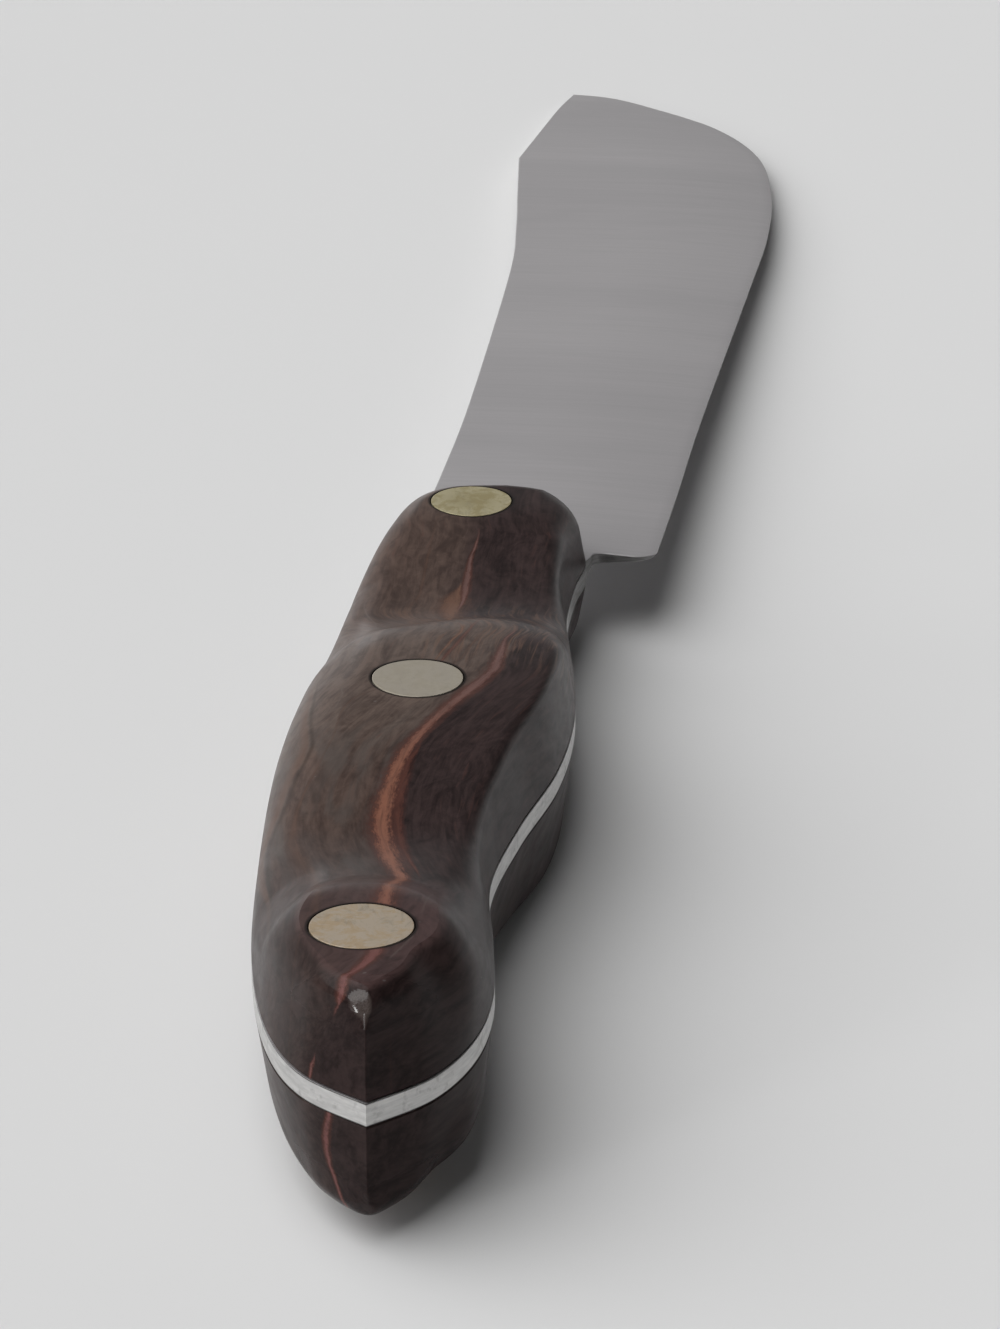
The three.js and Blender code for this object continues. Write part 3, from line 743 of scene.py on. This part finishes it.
def resin_ground(s, way, from_main, noise):
    """The resin's colour before its veins, by the way along the handle and the distance from the main one."""
    tone, clouds, hairs = noise["tone"], noise["clouds"], noise["hairs"]
    patchy = s.spread(tone, 0.36, 0.64)
    colour = s.mix(patchy, *EDGE_BROWN)
    # The butt is painted darker: partly the resin's darker, redder tone there, partly painted shade that
    # holds back the window lamp's light
    colour = s.mix(s.spread(way, 38.0, 22.0, 0.0, 0.25), colour, BUTT_DARK_AND_SHADE)
    # The top of the butt is painted paler: partly scuffing, partly a painted reflection of the room on its
    # flat top
    scuff_and_sheen = s.product(
        s.spread(s.attribute("below_top"), 0.5, 0.03), s.spread(way, 40.0, 34.0, 0.0, 0.7),
        s.spread(noise["swirls"], 0.3, 0.6, 0.45, 1.0),
    )
    colour = s.mix(scuff_and_sheen, colour, s.mix(tone, *SCUFF_AND_SHEEN_BROWN))
    # Past the butt the main vein's spine side is paler, with grey clouds in the palm and a warm patch ahead
    pale = s.mix(patchy, *SPINE_BROWN)
    grey = s.product(s.spread(clouds, 0.42, 0.62), s.spread(way, 92.0, 66.0, 0.0, 0.7))
    pale = s.mix(grey, pale, PALM_GREY)
    ahead = s.product(s.spread(way, 62.0, 78.0), s.spread(way, 108.0, 96.0, 0.0, 0.6))
    pale = s.mix(ahead, pale, s.mix(s.spread(tone, 0.38, 0.6), *WARM_BROWN))
    side = s.spread(s.total(from_main, s.product(clouds, 4.0)), 0.5, 5.0)
    side = s.product(side, s.spread(way, 28.0, 58.0, 0.2, 1.0))
    colour = s.mix(side, colour, pale)
    red = s.product(
        s.spread(hairs, 0.56, 0.74), s.spread(clouds, 0.42, 0.65), s.spread(way, 26.0, 46.0, 0.0, 0.35)
    )
    colour = s.mix(red, colour, RED_HAIR)
    # Tan hairs fan out before the front dip
    fan = s.product(
        s.spread(way, 86.0, 97.0), s.spread(way, 116.0, 107.0), s.spread(hairs, 0.48, 0.68, 0.0, 0.75),
        s.spread(from_main, 11.0, 6.0),
    )
    return s.mix(fan, colour, TAN_FAN)


def with_veins(s, colour, way, noise):
    """The resin's colour with the stored veins laid over it."""
    wobble = s.total(s.swing(noise["tone"], 3.0), s.swing(noise["grain"], 1.3))
    worn = s.spread(noise["hairs"], 0.2, 0.6, 0.55, 1.0)
    main = s.mix(s.spread(way, 18.0, 38.0), MAIN_PINK, MAIN_ORANGE)
    main = s.mix(s.spread(way, 62.0, 86.0), main, MAIN_BROWN)
    for vein, (edge, core, strength) in VEIN_LOOKS.items():
        away, presence, _ = s.split(s.attribute(vein, "Vector"))
        distance = s.math("ABSOLUTE", s.total(away, wobble))
        streak = s.mix(s.spread(distance, 0.1, 1.0), core or main, edge)
        share = s.product(s.spread(distance, 1.9, 0.35), s.product(worn, strength), presence)
        colour = s.mix(share, colour, streak)
        if vein == "vein_dark":
            # A paler strip runs along its spine side
            strip = s.product(s.spread(away, 1.0, 3.0), s.spread(away, 8.0, 4.0), s.product(presence, 0.6))
            colour = s.mix(strip, colour, BESIDE_DARK)
    return colour


def resin_material(name, specular):
    """Marbled resin with this much reflection, which is satin, and smooth at the butt's corner."""
    made, s, inputs = material(name)
    flow = s.attribute("flow", "Vector")
    way, from_main, height = s.split(flow)
    noise = {
        "clouds": s.noise(flow, (0.05, 0.22, 0.22), 1.0, 4, 0.55, 0.8),
        "streaks": s.noise(flow, (0.1, 0.5, 0.45), 1.0, 5, 0.6, 1.2),
        "swirls": s.noise(flow, (0.24, 0.42, 0.4), 1.0, 5, 0.62, 1.6),
        "hairs": s.noise(flow, (0.12, 2.4, 2.0), 1.0, 3, 0.5, 0.7),
        "grain": s.noise(flow, (1.6, 6.0, 6.0), 1.0, 3, 0.6),
    }
    shares = {"streaks": 0.45, "swirls": 0.35, "hairs": 0.2}
    noise["tone"] = s.total(*(s.product(noise[kind], share) for kind, share in shares.items()))
    colour = with_veins(s, resin_ground(s, way, from_main, noise), way, noise)
    specks = s.node("TexVoronoi", {"Vector": flow, "Scale": 0.13})["Distance"]
    colour = s.mix(s.spread(specks, 0.026, 0.014, 0.0, 0.35), colour, SPECK)
    # A dark ring round each rivet head: partly grime in the seam, partly painted shade of the gap
    colour = s.mix(s.spread(s.attribute("from_rivet"), 0.5, 0.25, 0.0, 0.85), colour, RIVET_SEAM_GRIME_AND_SHADE)
    # The worn facet at the butt is painted pale: partly scuffing, partly a painted reflection of the room
    ragged = s.total(s.attribute("from_facet"), s.swing(noise["grain"], 0.25))
    facet_scuff_and_sheen = s.mix(s.spread(noise["grain"], 0.35, 0.65), *FACET_SCUFF_AND_SHEEN)
    colour = s.mix(s.spread(ragged, 0.2, 0.06, 0.0, 0.9), colour, facet_scuff_and_sheen)
    # Hands have polished the corner at the butt more than the rest
    smear = s.noise(flow, (0.25, 0.5, 0.5), 1.0, 4, 0.6)
    satin = s.spread(smear, 0.3, 0.75, 0.28, 0.36)
    corner = s.product(s.spread(way, 17.0, 14.0), s.spread(height, 7.0, 8.5))
    s.feed(inputs, {
        "Base Color": colour, "Specular IOR Level": specular, "Normal": s.bump(smear, 0.05, 0.0005),
        "Roughness": s.node("Mix", {0: corner, 2: satin, 3: POLISHED_ROUGHNESS})[0],
    })
    return made


def on_row(value, axis):
    """One coordinate of a place on the knife in millimetres, in the row frame in metres."""
    return (value + float(OFFSET[axis])) / 1000


def steel_material():
    """Satin steel with grain across the blade."""
    made, s, inputs = material("satin_steel")
    place = s.node("TexCoord")["Object"]
    grain = s.noise(place, (2600, 60, 120), 1.0, 4, 0.7)
    cloud = s.noise(place, (40, 8, 14), 1.0, 4, 0.6, 0.5)
    colour = s.mix(s.spread(cloud, 0.3, 0.7), rgb(0.478, 0.464, 0.472), rgb(0.52, 0.505, 0.512))
    colour = s.mix(s.spread(grain, 0.3, 0.75, 0, 0.18), colour, rgb(0.413, 0.401, 0.406))
    s.feed(inputs, {
        "Base Color": colour, "Metallic": 1.0, "Normal": s.bump(grain, 0.06, 0.00004),
        "Roughness": s.spread(grain, 0.2, 0.8, 0.68, 0.74),
    })
    return made


# Painted shade darkens the steel along its seams with the scales
SEAM_SHADE_START, SEAM_SHADE_FULL = 0.00098, 0.00112  # distance from the middle of the steel's thickness, in metres
HEEL_SHADE = (112, 128, 146, 150)  # x where the painted shade at the heel starts, is full, is full still, and ends
HEEL_SHADE_HALF = 2  # half the width, about y = 0, over which that painted shade comes in


def rim_material():
    """Sanded steel round the tang, with painted shade along both seams and at the heel on the edge side."""
    made, s, inputs = material("sanded_rim")
    place = s.node("TexCoord")["Object"]
    x, y, z = s.split(place)
    rubbed = s.noise(place, (300, 300, 2200), 1.0, 4, 0.7)
    spots = s.noise(place, (1, 1, 1), 900, 3, 0.6)
    colour = s.mix(s.spread(rubbed, 0.25, 0.75), rgb(0.54, 0.534, 0.527), rgb(0.73, 0.723, 0.712))
    colour = s.mix(s.spread(spots, 0.55, 0.75, 0, 0.5), colour, rgb(0.3, 0.295, 0.29))
    # Darker on the edge side at the heel: painted shade, a darker reflection of the shaded floor there
    start, full, last, end = (on_row(value, 0) for value in HEEL_SHADE)
    edge_side = s.spread(y, on_row(HEEL_SHADE_HALF, 1), on_row(-HEEL_SHADE_HALF, 1))
    patchy = s.spread(rubbed, 0.2, 0.7, 1.0, 0.7)
    heel = s.product(s.spread(x, start, full), s.spread(x, end, last), s.product(edge_side, patchy))
    colour = s.mix(heel, colour, rgb(0.14, 0.138, 0.135))
    # Dark strips along both seams with the scales are painted shade
    height = s.math("ABSOLUTE", s.math("SUBTRACT", z, on_row(0, 2)))
    colour = s.mix(s.spread(height, SEAM_SHADE_START, SEAM_SHADE_FULL), colour, rgb(0.03, 0.028, 0.026))
    s.feed(inputs, {
        "Base Color": colour, "Metallic": 1.0, "Roughness": s.spread(rubbed, 0.2, 0.8, 0.6, 0.72),
    })
    return made


# Each rivet's metal, stain, share of stain added in its middle, and share of tarnish
RIVET_LOOKS = {
    "rear": (rgb(0.553, 0.478, 0.387), rgb(0.521, 0.406, 0.27), 0.0, 0.35),
    "middle": (rgb(0.488, 0.447, 0.38), rgb(0.458, 0.417, 0.344), 0.0, 0.2),
    "front": (rgb(0.545, 0.495, 0.333), rgb(0.412, 0.355, 0.204), 0.6, 0.25),
}
TARNISH = rgb(0.26, 0.235, 0.19)


def rivet_material(place):
    """Nickel silver with blotchy stains and fine tarnish."""
    metal, stain, centre, tarnished = RIVET_LOOKS[place]
    made, s, inputs = material(f"nickel_silver_{place}")
    spot = s.node("TexCoord")["Object"]
    cloud = s.noise(spot, (1, 1, 0.2), 480, 6, 0.7, 0.5)
    grain = s.noise(spot, (0.25, 1, 0.3), 3200, 3, 0.6)
    middle = [on_row(value, axis) for axis, value in enumerate(RIVETS[place])]
    away = s.node("VectorMath", {0: spot, 1: (*middle, 0)}, operation="SUBTRACT")[0]
    away = s.node("VectorMath", {0: away, 1: (1, 1, 0)}, operation="MULTIPLY")[0]
    away = s.node("VectorMath", {0: away}, operation="LENGTH")["Value"]
    amount = s.total(s.spread(cloud, 0.44, 0.6, 0.0, 0.8), s.spread(away, 0.004, 0.001, 0.0, centre))
    colour = s.mix(s.math("MINIMUM", amount, 1.0), metal, stain)
    tarnish = s.noise(spot, (0.6, 1, 0.2), 900, 5, 0.7, 0.8)
    colour = s.mix(s.spread(tarnish, 0.5, 0.72, 0.0, tarnished), colour, TARNISH)
    s.feed(inputs, {
        "Base Color": colour, "Metallic": 1.0, "Normal": s.bump(grain, 0.1, 0.00004),
        "Roughness": s.spread(cloud, 0.3, 0.8, 0.62, 0.72),
    })
    return made


# The pieces
RESIN_SPECULAR, POLISHED_SPECULAR = 0.07, 0.4
resin = resin_material("marbled_resin", RESIN_SPECULAR)
polished_resin = resin_material("polished_resin", POLISHED_SPECULAR)
steel = steel_material()
metals = {place: rivet_material(place) for place in RIVETS}

blank = scale_blank()
upper = piece("upper_scale_marbled", *blank, resin, ["upper_scale"], "resin")
lower = piece("lower_scale_marbled", *mirrored(*blank), resin, ["lower_scale"], "resin")
for obj, veins, side in ((upper, UPPER_VEINS, 1), (lower, LOWER_VEINS, -1)):
    drill(obj, side)
    obj.data.materials.append(polished_resin)
    marble(obj, veins, side)
for place, spot in RIVETS.items():
    pin, tube = rivet(blank, spot, pin_below), mirrored(*rivet(blank, spot, tube_below))
    piece(f"{place}_rivet_pin_flush", *pin, metals[place], [f"{place}_rivet_pin"], "nickel_silver")
    piece(f"{place}_rivet_tube_flush", *tube, metals[place], [f"{place}_rivet_tube"], "nickel_silver")
blade = piece("blade_satin", *blade_mesh(), steel, ["blade"], "steel", sharp=SMOOTH_BLADE)
blade.data.materials.append(rim_material())
for face in blade.data.polygons:
    face.material_index = int(abs(face.normal.z) < FACE_TURN)

# Floor: just under the lower scale and the tip, because the knife lies tipped a little nose down
FLOOR_HALF, FLOOR_GAP, FLOOR_WHITE = 12000, 0.05, 0.74
low = blank[0] * (1, 1, -1)
slope = np.max((-TANG - low[:, 2]) / (TIP[0] - low[:, 0]))
floor_start = -TANG - slope * TIP[0] - FLOOR_GAP
corners = [
    (x * FLOOR_HALF, y * FLOOR_HALF, floor_start + slope * x * FLOOR_HALF)
    for x, y in ((-1, -1), (1, -1), (1, 1), (-1, 1))
]
mesh = bpy.data.meshes.new("floor")
mesh.from_pydata(in_row(corners), [], [(0, 1, 2, 3)])
floor = bpy.data.objects.new("floor", mesh)
bpy.context.scene.collection.objects.link(floor)
paint, nodes, inputs = material("floor_paint")
nodes.feed(inputs, {
    "Base Color": rgb(FLOOR_WHITE, FLOOR_WHITE, FLOOR_WHITE), "Roughness": 1.0, "Specular IOR Level": 0.0,
})
mesh.materials.append(paint)

# Soft studio light: a wide key high on the spine side, a window behind the butt, and a dim room. The room is
# brighter ahead, with a strip of glow there, and on both sides.
ROOM_DIM = 0.04
world = bpy.data.worlds.new("studio")
bpy.context.scene.world = world
world.use_nodes = True
room = Shading(world.node_tree)
x, y, z = room.split(room.node("TexCoord")["Generated"])
band = room.total(room.spread(z, 0.2, 0.6, 0.27, 0.1), room.spread(z, 0.05, 0.19, 0.45, 0.0))
ahead = room.product(room.spread(x, 0.1, 0.9), band)
glow = room.product(
    room.spread(y, 0.17, 0.25), room.spread(y, 0.34, 0.27), room.spread(x, 0.6, 0.9),
    room.spread(z, 0.26, 0.14, 0.0, 1.3),
)
spine_wall = room.product(room.spread(y, 0.2, 0.7), room.spread(z, 0.2, 0.6, 0.08, 0.02))
edge_wall = room.product(room.spread(y, -0.35, -0.8), room.spread(z, 0.4, 0.1, 0.0, 0.35))
strength = room.total(ahead, glow, spine_wall, edge_wall, ROOM_DIM)
room.feed(world.node_tree.nodes["Background"].inputs, {"Color": (1, 1, 1, 1), "Strength": strength})

KEY_FROM, KEY_STRENGTH, KEY_DEGREES = (-0.12, 0.55, 0.83), 3.0, 80
WINDOW_FROM_BUTT, WINDOW_WATTS, WINDOW_SIZE = (-1.38, 1.38, 0.46), 5.2, 0.4


def lamp(name, kind, place, target, power, **settings):
    """A lamp at a place, turned to a target."""
    light = bpy.data.lights.new(name, kind)
    light.energy = power
    for key, value in settings.items():
        setattr(light, key, value)
    obj = bpy.data.objects.new(name, light)
    obj.location = place
    obj.rotation_euler = (Vector(target) - Vector(place)).to_track_quat("-Z", "Y").to_euler()
    bpy.context.scene.collection.objects.link(obj)


butt = (OFFSET / 1000).tolist()
window = [b + w for b, w in zip(butt, WINDOW_FROM_BUTT)]
lamp("key", "SUN", KEY_FROM, (0, 0, 0), KEY_STRENGTH, angle=math.radians(KEY_DEGREES))
lamp("window", "AREA", window, butt, WINDOW_WATTS, shape="DISK", size=WINDOW_SIZE)

# Camera as in the photograph: its place on the knife's axes in millimetres, its turn in degrees, and its
# focal length in pixels of a picture this high
CAMERA_AT, CAMERA_YAW, CAMERA_PITCH = (-304.72, -41.15, 166.86), 5.5, 22
FOCAL_PIXELS, PICTURE_HEIGHT, SENSOR = 3960, 1329, 36
yaw, pitch = math.radians(CAMERA_YAW), math.radians(CAMERA_PITCH)
look = Vector((math.cos(pitch) * math.cos(yaw), math.cos(pitch) * math.sin(yaw), -math.sin(pitch)))
right = Vector((math.sin(yaw), -math.cos(yaw), 0))
turn = Matrix((right, (-look).cross(right), -look)).transposed().to_4x4()
lens = bpy.data.cameras.new("camera")
lens.sensor_width, lens.lens = SENSOR, SENSOR * FOCAL_PIXELS / PICTURE_HEIGHT
camera = bpy.data.objects.new("camera", lens)
camera.matrix_world = Matrix.Translation(in_row(CAMERA_AT)) @ turn
bpy.context.scene.collection.objects.link(camera)
bpy.context.scene.camera = camera
bpy.context.scene.view_settings.view_transform = "Standard"
